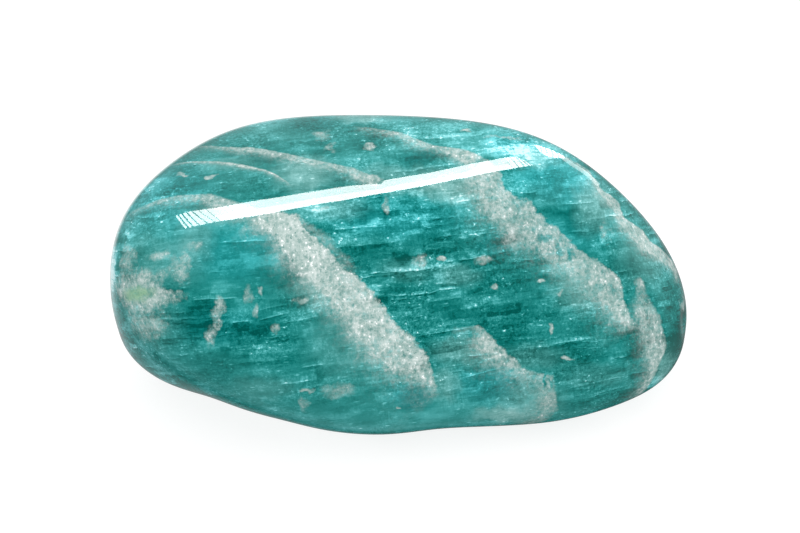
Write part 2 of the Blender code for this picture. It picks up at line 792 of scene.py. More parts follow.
def patches(*rows: tuple[float, float, float, float, float]) -> tuple[Patch, ...]:
    """Patches from rows of x, y, half width, half height and what each adds."""
    return tuple(Patch(*row) for row in rows)


def ledges_with_painted_light(*rows: tuple[float, float, float, float, float, float]) -> tuple[Ledge, ...]:
    """Ledges from rows of the left x and y, the right x and y, and how bright and dark they are."""
    return tuple(Ledge(row[:2], row[2:4], *row[4:]) for row in rows)


STREAKS = (
    Streak("main", crest(
        (262, 209, 1.0, 0.88), (297, 213, 1.45, 0.96), (310, 232, 1.5, 0.96), (328, 248, 1.5, 0.91),
        (345, 263, 1.65, 0.83), (375, 289, 1.65, 0.83), (387, 312, 1.55, 0.85), (400, 325, 1.6, 0.84),
        (408, 329, 1.6, 0.82), (415, 337, 1.5, 0.77), (427, 350, 1.2, 0.76), (432, 363, 0.75, 0.72),
        (436, 380, 0.25, 0.6), (439, 395, 0.05, 0.3),
    ), 0.36, 0.24),
    Streak("main, top", crest(
        (123, 219, 0.2, 0.25), (146, 204, 0.3, 0.3), (165, 197, 0.45, 0.4), (184, 194, 0.5, 0.4),
        (211, 193, 0.6, 0.5), (231, 199, 0.8, 0.55), (262, 209, 0.8, 0.6),
    ), 0.3, 0.2, 0.3),
    Streak("main, fringe", crest(
        (297, 211, 0.3, 0.3), (322, 228, 0.4, 0.3), (345, 250, 0.4, 0.3), (362, 268, 0.2, 0.2),
    ), 0.3, 0.5),
    Streak("second", crest(
        (484, 157, 1.4, 0.64), (502, 171, 1.9, 0.66), (505, 188, 1.5, 0.62), (532, 202, 1.9, 0.56),
        (539, 212, 2.0, 0.56), (560, 226, 1.6, 0.54), (572, 241, 1.4, 0.54), (584, 251, 1.3, 0.6),
        (600, 261, 1.3, 0.66), (615, 273, 1.4, 0.68), (624, 285, 1.4, 0.68), (627, 303, 0.9, 0.7),
        (633, 317, 0.6, 0.6), (643, 322, 0.4, 0.35),
    ), 0.44, 0.26),
    Streak("second, top", crest(
        (357, 126, 0.15, 0.2), (384, 129, 0.3, 0.4), (401, 132, 0.4, 0.45), (421, 140, 0.45, 0.5),
        (441, 146, 0.3, 0.5), (459, 148, 0.6, 0.72), (472, 151, 0.95, 0.8), (484, 157, 0.95, 0.7),
    ), 0.25, 0.15, 0.3),
    Streak("lower", crest(
        (457, 327, 0.1, 0.15), (480, 325, 0.2, 0.34), (490, 335, 0.6, 0.68), (504, 347, 0.6, 0.7),
        (515, 358, 0.4, 0.52), (525, 367, 0.3, 0.4), (540, 372, 0.35, 0.36), (554, 374, 0.5, 0.38),
        (557, 389, 0.5, 0.38), (558, 402, 0.5, 0.32), (556, 414, 0.4, 0.22),
    ), 0.34, 0.16, 0.6),
    Streak("right rim", crest(
        (560, 152, 0.1, 0.3), (590, 171, 0.3, 0.5), (602, 188, 0.5, 0.65), (619, 202, 0.9, 0.6),
        (625, 218, 0.7, 0.65), (643, 230, 1.3, 0.7), (651, 241, 1.3, 0.75), (666, 253, 1.4, 0.7),
        (676, 267, 1.4, 0.6), (679, 279, 0.8, 0.5),
    ), 0.3, 0.25, 0.7),
    Streak("right end", crest(
        (645, 285, 0.8, 0.22), (651, 299, 1.4, 0.4), (662, 317, 1.7, 0.48), (664, 332, 1.6, 0.52),
        (668, 346, 1.5, 0.58), (660, 364, 0.9, 0.62), (653, 381, 0.7, 0.55), (645, 393, 0.4, 0.45),
    ), 0.4, 0.4, 0.7),
    Streak("top", crest(
        (195, 146, 0.1, 0.2), (221, 146, 0.25, 0.35), (237, 147, 0.35, 0.5), (249, 147, 0.5, 0.65),
        (260, 148, 0.4, 0.6), (277, 151, 0.5, 0.5), (300, 156, 0.45, 0.5), (320, 160, 0.4, 0.5),
        (341, 165, 0.4, 0.5), (354, 167, 0.5, 0.55), (365, 172, 0.6, 0.5), (384, 180, 0.4, 0.5),
    ), 0.2, 0.12, 0.25),
    Streak("thin top", crest(
        (165, 168, 0.05, 0.2), (178, 163, 0.1, 0.35), (204, 161, 0.15, 0.5), (230, 162, 0.2, 0.7),
        (251, 166, 0.2, 0.75), (267, 170, 0.12, 0.7), (278, 175, 0.08, 0.6), (291, 184, 0.03, 0.4),
    ), 0.1, 0.08, 0.15),
)

# Soft patches of lighter and darker body colour; the bright rows along the left, top and right rims are
# painted glow, and bright rows beside the lamp's line are painted sheen.
CLOUDS_AND_PAINTED_GLOW = patches(
    (200, 322, 20, 20, -0.22), (252, 329, 22, 7, -0.25), (508, 147, 28, 14, 0.3), (318, 209, 20, 7, 0.28),
    (590, 355, 44, 16, -0.12), (560, 212, 20, 6, -0.25), (542, 197, 14, 5, -0.18), (420, 155, 28, 8, -0.16),
    (128, 234, 9, 4, 0.35), (303, 128, 36, 16, -0.26), (366, 138, 34, 15, -0.26), (272, 160, 32, 12, -0.17),
    (423, 197, 24, 12, -0.2), (372, 216, 24, 12, -0.24), (583, 219, 34, 11, -0.3),
    (368, 262, 50, 15, -0.24), (428, 246, 58, 20, -0.32), (498, 275, 56, 22, -0.34),
    (262, 288, 32, 18, -0.26), (165, 332, 44, 20, -0.18), (240, 374, 56, 22, -0.16),
    (298, 358, 34, 30, -0.17), (338, 357, 20, 14, -0.12), (428, 322, 30, 14, -0.12),
    (503, 330, 34, 26, -0.28), (465, 360, 40, 22, -0.24), (520, 356, 26, 12, -0.13),
    (404, 257, 14, 8, -0.14), (440, 256, 20, 9, -0.14), (226, 246, 34, 10, -0.07),
    (287, 339, 20, 12, -0.06), (321, 350, 18, 13, 0.19), (642, 290, 20, 24, -0.06),
    (517, 143, 24, 9, -0.08), (128, 352, 12, 18, 0.17), (205, 145, 26, 11, -0.07), (215, 199, 60, 7, 0.06),
    (356, 428, 26, 5, 0.1), (358, 202, 18, 8, 0.08), (541, 306, 26, 13, -0.19), (640, 272, 28, 22, -0.28),
    (636, 320, 22, 40, -0.2), (682, 330, 26, 60, -0.28), (600, 275, 26, 18, -0.18),
    (465, 135, 34, 28, 0.22), (420, 128, 30, 16, 0.12), (548, 155, 40, 18, 0.32), (530, 186, 38, 18, 0.16),
    (530, 134, 50, 14, 0.18), (590, 192, 30, 24, 0.15), (408, 222, 26, 14, 0.26), (463, 210, 20, 14, 0.16),
    (305, 182, 24, 13, 0.17), (357, 165, 18, 10, 0.12), (145, 196, 38, 22, 0.22), (335, 388, 22, 12, 0.12),
    (447, 407, 32, 28, 0.14), (378, 236, 42, 14, 0.22), (301, 278, 23, 34, -0.24),
    (335, 330, 26, 20, -0.14), (218, 336, 26, 16, -0.14), (414, 395, 14, 26, -0.16),
    (505, 388, 50, 12, -0.12), (660, 330, 40, 34, -0.14), (455, 300, 50, 18, -0.13),
    (560, 197, 24, 10, -0.14), (493, 245, 24, 14, -0.22), (412, 150, 22, 12, 0.24), (225, 175, 26, 14, 0.1),
    (170, 188, 30, 18, 0.1), (275, 362, 24, 24, 0.14), (190, 362, 34, 20, 0.1), (325, 420, 30, 12, 0.12),
    (608, 336, 40, 12, -0.16), (372, 118, 64, 7, 0.14), (264, 122, 30, 9, 0.2), (512, 131, 26, 8, 0.1),
    (112, 266, 10, 22, 0.44), (112, 296, 10, 26, 0.32), (148, 178, 18, 10, -0.2), (196, 222, 38, 9, 0.14),
    (368, 171, 26, 10, 0.15), (466, 207, 16, 11, 0.16), (472, 236, 20, 10, 0.15), (214, 308, 26, 8, -0.18),
    (184, 330, 22, 14, -0.08), (152, 346, 16, 12, 0.12), (548, 392, 26, 14, -0.1), (283, 191, 16, 8, 0.12),
    (466, 155, 14, 9, 0.16), (408, 261, 16, 9, -0.15), (388, 299, 20, 18, -0.19), (430, 277, 18, 7, 0.12),
    (468, 285, 20, 8, 0.14), (418, 351, 20, 18, -0.24), (428, 398, 16, 16, -0.08), (440, 368, 16, 8, 0.12),
    (500, 410, 46, 14, 0.18), (513, 232, 14, 11, -0.14), (655, 232, 9, 16, 0.15), (640, 315, 20, 12, -0.1),
    (668, 358, 16, 26, -0.14),
)

CALM = patches(
    (215, 255, 120, 65, -0.45), (400, 415, 210, 30, -0.65), (220, 375, 100, 34, -0.35),
    (250, 165, 140, 40, -0.25), (560, 200, 60, 44, -0.3), (440, 290, 100, 66, 0.3),
    (345, 345, 44, 44, -0.45),
)

SPOTS = patches(
    (441, 258, 5, 3, 1.0), (484, 259, 10, 5, 0.5), (543, 282, 4, 2.5, 0.8), (496, 287, 4, 3, 0.55),
    (550, 331, 2.5, 5, 0.7), (559, 292, 2.5, 4, 0.6), (567, 359, 5, 2, 0.6), (401, 408, 3, 2, 0.8),
    (275, 329, 5, 5, 0.5), (303, 300, 8, 3.5, 0.8), (249, 293, 5, 8, 0.25), (256, 311, 3, 8, 0.36),
    (262, 290, 2, 6, 0.42), (304, 404, 5, 8, 0.3), (306, 391, 6, 2, 0.7), (337, 390, 17, 8, 0.28),
    (321, 135, 9, 6, 0.36), (385, 206, 3, 8, 0.42), (182, 175, 6, 2.5, 0.48), (466, 130, 6, 2, 0.9),
    (504, 138, 20, 2, 0.3), (687, 303, 4, 9, 0.6), (640, 285, 5, 8, 0.5), (606, 279, 6, 10, 0.4),
)

HOLES = patches(
    (521, 206, 5, 8, 0.35), (517, 236, 8, 7, 0.25), (145, 311, 14, 8, 0.2), (549, 222, 5, 5, 0.4),
    (544, 237, 6, 6, 0.4), (560, 251, 4, 8, 0.4), (570, 256, 4, 8, 0.5), (568, 233, 6, 5, 0.3),
    (588, 273, 5, 8, 0.4), (604, 271, 5, 6, 0.35), (599, 288, 6, 5, 0.35), (613, 290, 5, 7, 0.3),
    (376, 348, 5, 4, 0.35), (354, 306, 2.5, 3.5, 0.5), (365, 319, 4, 4, 0.3), (389, 353, 3.5, 6, 0.4),
    (402, 364, 6, 4, 0.3), (422, 365, 4, 8, 0.3), (545, 381, 2.5, 10, 0.4), (551, 384, 2, 9, 0.35),
)

GREENS = patches(
    (135, 295, 14, 9, 1.0), (148, 292, 9, 5, 0.3),
)

VIVID = patches(
    (235, 250, 75, 34, 0.8), (395, 218, 85, 26, 0.8), (165, 195, 60, 50, 0.7), (555, 180, 60, 32, 1.0),
    (560, 235, 60, 24, 0.5), (220, 325, 60, 22, 0.5), (492, 384, 36, 22, 0.9), (412, 396, 24, 16, 1.0),
    (498, 244, 20, 14, 0.5), (310, 122, 30, 12, 0.4), (419, 158, 20, 10, 0.5), (112, 250, 14, 40, 0.6),
    (515, 145, 34, 16, 0.8),
)

MILK = patches(
    (345, 345, 42, 40, 0.18), (165, 262, 44, 28, 0.25), (146, 322, 40, 30, 0.25), (314, 284, 24, 26, 0.52),
    (240, 215, 60, 10, 0.3), (304, 175, 34, 22, 0.6), (335, 208, 36, 13, 0.3), (395, 180, 60, 16, 0.4),
    (450, 185, 36, 20, 0.65), (228, 164, 34, 8, 0.25), (262, 388, 34, 14, 0.2), (358, 117, 32, 7, 0.5),
    (458, 276, 24, 13, 0.3), (445, 384, 18, 18, 0.35), (196, 238, 22, 24, 0.3), (580, 288, 30, 26, 0.45),
    (530, 400, 38, 22, 0.3), (502, 415, 32, 10, 0.6), (593, 207, 24, 32, 0.44), (545, 195, 28, 16, 0.12),
    (536, 160, 26, 10, 0.3), (640, 262, 34, 30, 0.3), (455, 352, 30, 15, 0.38), (535, 358, 36, 16, 0.25),
    (666, 365, 20, 26, 0.62), (595, 375, 40, 14, 0.15), (285, 130, 60, 18, 0.1), (408, 270, 30, 14, 0.2),
)

HAZES = patches(
    (128, 256, 12, 15, 0.5), (159, 256, 15, 8, 0.48), (182, 267, 12, 18, 0.5), (196, 246, 10, 8, 0.4),
    (136, 290, 32, 22, 0.95), (178, 296, 16, 8, 0.4), (146, 324, 28, 22, 0.5), (371, 147, 7, 4, 0.62),
    (330, 148, 7, 5, 0.4), (209, 177, 7, 4, 0.62), (163, 272, 12, 8, 0.35), (221, 304, 6.5, 10, 0.52),
    (216, 320, 6.5, 14, 0.55), (210, 338, 7.5, 12, 0.52), (370, 180, 16, 6, 0.8), (547, 392, 10, 18, 0.35),
    (421, 262, 8, 12, 0.45), (324, 208, 7, 3, 0.6), (606, 232, 10, 20, 0.3), (160, 300, 22, 10, 0.45),
)

# Cleavage lines, each with a painted reflection along its upper side and painted shade under it.
LEDGES_WITH_PAINTED_LIGHT = ledges_with_painted_light(
    (521, 193, 537, 192, 0.1, 0.25), (464, 236, 500, 232, 0.28, 0.15), (328, 230, 400, 225, 0.22, 0.05),
    (330, 248, 400, 242, 0.05, 0.25), (558, 205, 598, 202, 0.2, 0.2), (392, 273, 460, 266, 0.2, 0.1),
    (433, 284, 458, 283, 0.3, 0.15), (411, 337, 480, 326, 0.25, 0.22), (462, 378, 506, 367, 0.22, 0.1),
    (551, 344, 596, 338, 0.22, 0.18), (515, 349, 547, 346, 0.12, 0.08), (613, 322, 643, 319, 0.25, 0.05),
    (560, 391, 623, 376, 0.04, 0.18), (190, 300, 238, 298, 0.28, 0.25), (230, 323, 251, 321, 0.28, 0.25),
    (257, 321, 288, 313, 0.25, 0.25), (293, 322, 320, 316, 0.22, 0.1), (255, 311, 293, 303, 0.15, 0.1),
    (262, 344, 289, 339, 0.2, 0.05), (226, 348, 265, 346, 0.1, 0.05), (234, 363, 301, 359, 0.04, 0.14),
    (301, 368, 326, 364, 0.35, 0.1), (278, 385, 309, 381, 0.22, 0.08), (220, 243, 278, 240, 0.18, 0.12),
)


def patch_sum(at: Places, rows: tuple[Patch, ...], deep: float = 4.0, rise: Rise = Rise(1.25, 0.3)) -> Term:
    """Adds up soft ragged patches: each adds its own amount in the middle and less towards its edge.

    Args:
        at: The places.
        rows: The patches.
        deep: How far they reach inwards in millimetres, too little to show on the stone's other side.
        rise: How a patch falls off, in its half sizes.

    Returns:
        What they add together.
    """
    desk, pixel = at.desk, at.view.px_per_mm

    def one(patch: Patch, centre: np.ndarray) -> Term:
        """What one patch adds."""
        halves = np.array([patch.wide, patch.high, deep * pixel]) / pixel
        inner = desk.vector("MULTIPLY_ADD", at.ragged, tuple(1 / halves), tuple(-centre / halves))
        return rise.of(desk.vector("LENGTH", inner, output="Value")) * patch.adds

    return total(map(one, rows, at.in_picture([(row.x, row.y) for row in rows])))


@dataclass(frozen=True)
class Steps:
    """Small cleavage steps, each line with a painted reflection above it and painted shade under it. The
    stone is cut into rows by height and into bricks along each row, every row shifted by chance. The heights
    and widths here are shares of a row and of a brick."""

    sizes: tuple[StepSize, ...] = (
        StepSize(1.40, 4.6, 5.0, 0.34, 0.55, 0.24),
        StepSize(0.66, 2.2, 3.0, 0.32, 0.50, 0.26),
        StepSize(0.29, 1.0, 2.0, 0.24, 0.40, 0.20),
    )
    bends: tuple[Grain, Grain] = (Grain(None, 0.20, 1.0, adds=0.8), Grain(None, 1.5, 2.0, 0.6, 0.28))
    shift_along: float = 17.0
    shift_inward: float = 11.0
    lowest: float = 0.35
    spread: float = 0.3
    tilt_middle: float = 0.3
    tilt: float = 0.15
    line_edge: Rise = Rise(-0.02, 0.02)
    glare_fall: float = 12.0
    glare: float = 0.6
    glow_fall: float = 3.5
    glow: float = 0.4
    shade_fall: float = 4.0
    shade: float = 0.7
    breaks: Grain = Grain((0.5, 1.0, 0.35), 1.0, 2.0)
    broken: Rise = Rise(-0.12, 0.14, 0.8)
    unbroken: float = 0.3
    line_rims: tuple[float, float, float, float] = (0.12, 0.85, 0.2, 0.8)
    block_rims: tuple[float, float, float, float] = (0.05, 0.95, 0.1, 0.9)
    block_low: Rise = Rise(0.0, 0.06)
    block_high: Rise = Rise(1.0, 0.94)

    @staticmethod
    def fall(away: Term, quick: float) -> Term:
        """1 at a line, falling off this quickly on both sides of it."""
        return (away.size() * quick).fading()

    @staticmethod
    def inside(run: Term, back: Term, rims: tuple[float, float, float, float]) -> Term:
        """1 inside a brick, falling smoothly to 0 outside these rims at its left, right, front and back."""
        left, right, front, rear = rims
        return run.ramp(0.0, left) * run.ramp(1.0, right) * back.ramp(0.0, front) * back.ramp(1.0, rear)

    def one_size(self, at: Places, bend: Term, size: StepSize) -> Term:
        """The steps of one size.

        A brick holds one line at a height of its own. Above it a painted reflection falls off quickly, and
        under it painted shade falls off slowly. The line fades towards the brick's ends.

        Args:
            at: The places.
            bend: How far the rows are bent up or down, in millimetres.
            size: The bricks' size.

        Returns:
            How much lighter or darker the stone is, about 0.
        """
        desk = at.desk
        rows = (at.up + bend) / size.height
        shift = desk.chances(desk.joined(rows.whole(), 0.0, size.height))[0]
        place = at.grain / size.length + shift * self.shift_along
        deep = at.across / size.depth + shift * self.shift_inward
        strong, height, tilt = desk.chances(desk.joined(place.whole(), rows.whole(), deep.whole()))
        run, back = place.rest(), deep.rest()
        line = height * self.spread + self.lowest + (tilt - self.tilt_middle) * (run - 0.5) * self.tilt
        over = rows.rest() - line
        above = self.line_edge.of(over)
        # painted reflection above the line (glare and glow) and painted shade under it
        bright = self.fall(over, self.glare_fall) * self.glare + self.fall(over, self.glow_fall) * self.glow
        light = above * bright - (1 - above) * self.fall(over, self.shade_fall) * self.shade
        broken = self.broken.of(self.breaks.noise(at)) + self.unbroken
        ends, sides = (self.inside(run, back, rims) for rims in (self.line_rims, self.block_rims))
        block = (tilt - 0.5) * self.block_low.of(rows.rest()) * self.block_high.of(rows.rest()) * size.block
        return light * strong.ramp(1.0 - size.share, 1.0) * size.strength * broken * ends + block * sides

    def bend(self, at: Places) -> Term:
        """How far the rows are bent up or down, in millimetres."""
        return total(bend.tint(at) for bend in self.bends)

    def light(self, at: Places, bend: Term) -> Term:
        """How much lighter or darker the steps of all sizes make the stone."""
        return total(self.one_size(at, bend, size) for size in self.sizes)


@dataclass(frozen=True)
class Microcline:
    """The blue-green body: how light it is at each place, from dark blocks to bright cleavage lines, with
    painted reflections, shade, glints and glow among them, and the colours that go with that: plain, more
    vivid and milky."""

    clouds_and_painted_glow: tuple[Patch, ...] = CLOUDS_AND_PAINTED_GLOW
    calm: tuple[Patch, ...] = CALM
    calmest: float = 0.2
    ledges_with_painted_light: tuple[Ledge, ...] = LEDGES_WITH_PAINTED_LIGHT
    steps: Steps = Steps()
    edge_on: Rise = Rise(0.75, 0.95, 0.8)
    broad: Grain = Grain((1.5, 1.0, 1.0), 0.40, 2.0, 0.6, 0.6)
    drawn: Grain = Grain((3.2, 2.0, 0.9), 1.0, 3.0, 0.65, 0.35)
    beds: Grain = Grain(None, 0.5, 1.0)
    bed: Rise = Rise(-0.25, 0.25, 0.9)
    bed_least: float = 0.5
    grit: Grain = Grain((1.1, 1.0, 0.95), 6.0, 2.0, 0.8, 0.75)
    flecks: Grain = Grain((1.25, 1.0, 0.85), 4.0, 2.0, 0.7)
    light_fleck: Rise = Rise(0.08, 0.34, 0.55)
    dark_fleck: Rise = Rise(-0.10, -0.34, 0.34)
    fibres: Grain = Grain((0.11, 0.5, 0.9), 1.0, 1.0)
    fibre_beds: Grain = Grain(None, 0.6, 1.0)
    fibre_bed: Rise = Rise(0.0, 0.3)
    fibre_light: float = 0.4
    flake_sizes: Sizes = (0.55, 0.25, 0.13)
    flake: Rise = Rise(0.45, 0.1)
    flake_share: float = 0.16
    painted_flake_glint: float = 0.30
    middle: float = 0.43
    stops: Stops = shades(
        (0.0, 2, 78, 72), (0.22, 13, 108, 103), (0.42, 36, 131, 127), (0.6, 68, 160, 159),
        (0.8, 116, 205, 208), (1.0, 205, 246, 248),
    )
    vivid: tuple[Patch, ...] = VIVID
    vivid_stops: Stops = shades(
        (0.0, 0, 78, 74), (0.22, 8, 108, 106), (0.42, 26, 132, 132), (0.6, 52, 163, 166),
        (0.8, 100, 208, 215), (1.0, 197, 246, 252),
    )
    milk: tuple[Patch, ...] = MILK
    milk_stops: Stops = shades(
        (0.0, 52, 112, 107), (0.42, 104, 156, 151), (0.6, 133, 178, 174), (0.8, 170, 206, 202),
        (1.0, 225, 246, 242),
    )

    def glinting_flakes(self, at: Places) -> Term:
        """Small bright flakes painted as glints: one long cell in many holds one, white in its middle."""
        cells, chance = at.desk.cells(at.lattice_place(*self.flake_sizes), 1.0)
        return self.flake.of(cells) * chance.ramp(1.0 - self.flake_share, 1.0)

    def tone(self, at: Places) -> Term:
        """Adds up the body's lightness: soft noise, flecks, fibres, steps, flakes, clouds and cleavage lines.
        The steps and lines carry painted reflections and shade, the flakes painted glints, some clouds
        painted glow.

        Args:
            at: The places.

        Returns:
            How light the body is, 0 to 1.
        """
        bend = self.steps.bend(at)
        light = self.broad.tint(at)
        light = light + self.drawn.tint(at)
        calm = (patch_sum(at, self.calm) + 1.0).at_least(self.calmest)
        patchy = (self.bed.of(self.beds.noise(at)) + self.bed_least) * calm
        light = light + self.grit.tint(at) * patchy
        flecks = self.flecks.noise(at)
        light = light + (self.light_fleck.of(flecks) - self.dark_fleck.of(flecks)) * patchy
        fibres = self.fibres.noise(at)
        light = light + fibres * self.fibre_bed.of(self.fibre_beds.noise(at)) * self.fibre_light
        facing = at.desk.node("ShaderNodeNewGeometry", {}, {}, "Normal")
        lean = at.desk.along(facing, at.lattice.step).size()
        # cleavage steps: painted reflections above their lines and painted shade under them
        light = light + self.steps.light(at, bend) * (1 - self.edge_on.of(lean)) * calm
        # painted glints on the flakes
        light = light + self.glinting_flakes(at) * self.painted_flake_glint
        # clouds of body colour, some of them painted glow along the rims and painted sheen near the lamp's
        # line
        light = light + patch_sum(at, self.clouds_and_painted_glow)
        # cleavage lines: painted reflections and painted shade
        light = light + total(ledge.light(at) for ledge in self.ledges_with_painted_light)
        return light + self.middle

    def colour(self, at: Places) -> Term:
        """Colours the body by its lightness, from one ramp where it is plain, from another where it is more
        vivid and from a third where it is milky.

        Args:
            at: The places.

        Returns:
            The colour.
        """
        desk, tone = at.desk, self.tone(at)
        vivid = patch_sum(at, self.vivid).at_most(1.0)
        milk = patch_sum(at, self.milk).at_most(1.0)
        colour = desk.mix(vivid, desk.ramp(tone, self.stops), desk.ramp(tone, self.vivid_stops))
        return desk.mix(milk, colour, desk.ramp(tone, self.milk_stops))


@dataclass(frozen=True)
class Albite:
    """The white streaks, hazes and specks: where they lie, how white they are, and their grainy colour."""

    streaks: tuple[Streak, ...] = STREAKS
    span: float = 20.0
    end_beyond: float = 0.006
    end_within: float = 0.010
    tooth_sizes: Sizes = (0.30, 0.5, 0.45)
    tooth: float = 0.06
    slivers: Grain = Grain((1.1, 0.8, 0.25), 1.0, 1.0, adds=0.25)
    bays: Grain = Grain(None, 0.8, 4.0, 0.75, 0.8)
    hazes: tuple[Patch, ...] = HAZES
    haze_crumbs: float = 0.7
    haze_edge: Rise = Rise(0.0, 0.2)
    haze: Rise = Rise(0.1, 0.9, 0.65)
    spots: tuple[Patch, ...] = SPOTS
    holes: tuple[Patch, ...] = HOLES
    folds: Grain = Grain((0.9, 0.8, 1.2), 1.9, 3.0, 0.7)
    fold_width: float = 9.0
    middle: float = 0.35
    crumb: float = 0.7
    cell_scale: float = 4.2
    cell_middle: float = 0.45
    cell: float = 0.2
    grit: Grain = Grain((1.0, 1.0, 1.3), 5.5, 2.0, 0.7)
    light_grit: Rise = Rise(0.06, 0.32, 0.75)
    dark_grit: Rise = Rise(-0.08, -0.34, 0.65)
    banks: Grain = Grain(None, 0.9, 2.0, 0.6, 0.5)
    fibres: Grain = Grain((0.16, 0.3, 0.8), 1.0, 2.0, adds=0.35)
    plates: Grain = Grain((0.8, 0.5, 0.12), 1.0, 1.0, adds=0.25)
    sparkling: Rise = Rise(0.88, 0.93)
    sparkle: Rise = Rise(0.40, 0.1)
    painted_sparkle_glint: float = 0.6
    greens: tuple[Patch, ...] = GREENS
    green: Colour = srgb(144, 182, 150)
    stops: Stops = shades(
        (0.0, 98, 138, 133), (0.3, 160, 182, 177), (0.6, 203, 214, 211), (0.85, 236, 243, 241),
        (1.0, 255, 255, 255),
    )

    def share(self, length: Any) -> Any:
        """A length of minus span to span, plain or a Term, as a share of 0 to 1, which a curve node takes."""
        return (length / self.span + 1) / 2

    def streak_cover(self, at: Places, edge: Term, streak: Streak) -> Term:
        """How white one streak makes the stone.

        The crest's points give the sheet's place against the distance down it. Inward of that edge the white
        rises over the fringe, holds for the sheet's thickness and fades by the exponential of the distance
        over the feather.

        Args:
            at: The places.
            edge: How far the edge is worn into teeth, in millimetres.
            streak: The streak.

        Returns:
            The cover, 0 to 1.
        """
        seen = at.seen([(point.x, point.y) for point in streak.crest])
        place = self.share(seen @ at.lattice.dip)
        order = np.argsort(place)
        thick = np.array([point.thick for point in streak.crest]) / self.span
        white = np.array([point.white for point in streak.crest])
        values = (self.share(seen @ at.lattice.sheet), thick, white)
        rows = [np.stack([place, value], axis=1)[order] for value in values]
        down = self.share(at.dip)
        front, body, strength = (
            at.desk.node("ShaderNodeFloatCurve", {"curve": row}, {"Value": down}) for row in rows
        )
        inward = (front * 2.0 - 1.0) * self.span - at.depth - edge * streak.ragged
        faded = (inward - body * self.span).at_least(0.0) / streak.feather
        first, last = float(place.min()), float(place.max())
        start = down.ramp(first - self.end_beyond, first + self.end_within)
        ends = start * down.ramp(last + self.end_beyond, last - self.end_within)
        return inward.ramp(0.0, streak.fringe) * faded.fading() * strength * ends

    def cover(self, at: Places, crumbs: Term) -> Term:
        """Covers the stone with the streaks, hazes and specks, the largest of them at each place, less the
        small holes in them.

        Args:
            at: The places.
            crumbs: Fine noise that breaks up the hazes.

        Returns:
            The cover, from 0 up.
        """
        tooth = at.desk.cells(at.lattice_place(*self.tooth_sizes), 1.0, CellShape.SQUARE)[1] - 0.5
        slivers = self.slivers.noise(at)
        edge = tooth * self.tooth + slivers * self.slivers.adds + self.bays.tint(at)
        covers = (self.streak_cover(at, edge, streak) for streak in self.streaks)
        cover = functools.reduce(Term.at_least, covers)
        haze = patch_sum(at, self.hazes)
        haze = self.haze.of(haze + crumbs * self.haze_crumbs * self.haze_edge.of(haze))
        whole = cover.at_least(haze).at_least(patch_sum(at, self.spots))
        return (whole - patch_sum(at, self.holes)).at_least(0.0)

    def web(self, at: Places) -> Term:
        """Fine fibres and rings, 1 on a fibre and 0 between: the places where folded noise is near 0."""
        return (self.folds.noise(at).size() * self.fold_width).fading()

    def colour(self, at: Places, crumbs: Term) -> Term:
        """Colours the albite: crumbs and grains of all sizes, a few with painted glints where they sparkle,
        and a greenish spot.

        Args:
            at: The places.
            crumbs: Fine noise.

        Returns:
            The colour.
        """
        cells, chance = at.desk.cells(at.spot, self.cell_scale)
        value = self.middle + crumbs * self.crumb + (cells - self.cell_middle) * self.cell
        value = value + (chance - 0.5) * self.cell
        grit = self.grit.noise(at)
        value = value + self.light_grit.of(grit) - self.dark_grit.of(grit)
        value = value + self.banks.tint(at)
        value = value + self.fibres.tint(at) + self.plates.tint(at)
        # painted glints on a few grains
        value = value + self.sparkling.of(chance) * self.sparkle.of(cells) * self.painted_sparkle_glint
        return at.desk.mix(patch_sum(at, self.greens), at.desk.ramp(value, self.stops), self.green)


@dataclass
class AmazoniteFinish:
    """Polished amazonite: blue-green microcline with cleavage steps, and white albite streaks in it."""

    view: PhotoView
    stone: Stone
    core: np.ndarray
    lattice: Lattice = field(default_factory=Lattice)
    body: Microcline = Microcline()
    white: Albite = Albite()
    crumbs: Grain = Grain(None, 2.2, 3.0, 0.8)
    web_middle: float = 0.45
    web_reach: float = 1.4
    ripple: Grain = Grain(None, 1.5, 1.0)
    ripple_size: float = 0.02
    polish: Grain = Grain(None, 3.0, 2.0)
    roughness: float = 0.015
    roughness_spread: float = 0.02
    bending: float = 1.53

    def make(self) -> bpy.types.Material:
        """Builds the material: the white over the blue-green, under a hardly rippled polish.

        Returns:
            The material.
        """
        material, desk = new_look("polished_amazonite")
        at = Places.of(desk, self.core, self.view, self.stone, self.lattice)
        teal = self.body.colour(at)
        crumbs = self.crumbs.noise(at)
        cover = self.white.cover(at, crumbs)
        wisps = self.white.web(at) - self.web_middle + crumbs
        share = (cover + wisps * cover * (self.web_reach - cover)).at_least(0.0).at_most(1.0)
        height = self.ripple.noise(at)
        ripple = {"Strength": self.ripple_size, "Distance": self.ripple_size * MM, "Height": height}
        surface = {
            "Base Color": desk.mix(share, teal, self.white.colour(at, crumbs)),
            "Roughness": self.roughness + (self.polish.noise(at) + 0.5) * self.roughness_spread,
            "IOR": self.bending,
            "Normal": desk.node("ShaderNodeBump", {}, ripple, "Normal"),
        }
        desk.end("ShaderNodeBsdfPrincipled", surface)
        return material


@dataclass(frozen=True)
class Glint:
    """A lamp, given by its reflection in the photograph: the pixels of its upper and lower edge, left to
    right, and its bands from the upper edge down, each with the share of the way where it ends and how bright
    it is."""

    name: str
    upper: tuple[Pixel, ...]
    lower: tuple[Pixel, ...]
    bands: tuple[tuple[float, float], ...] = ((0.54, 16.0), (1.0, 22.0))


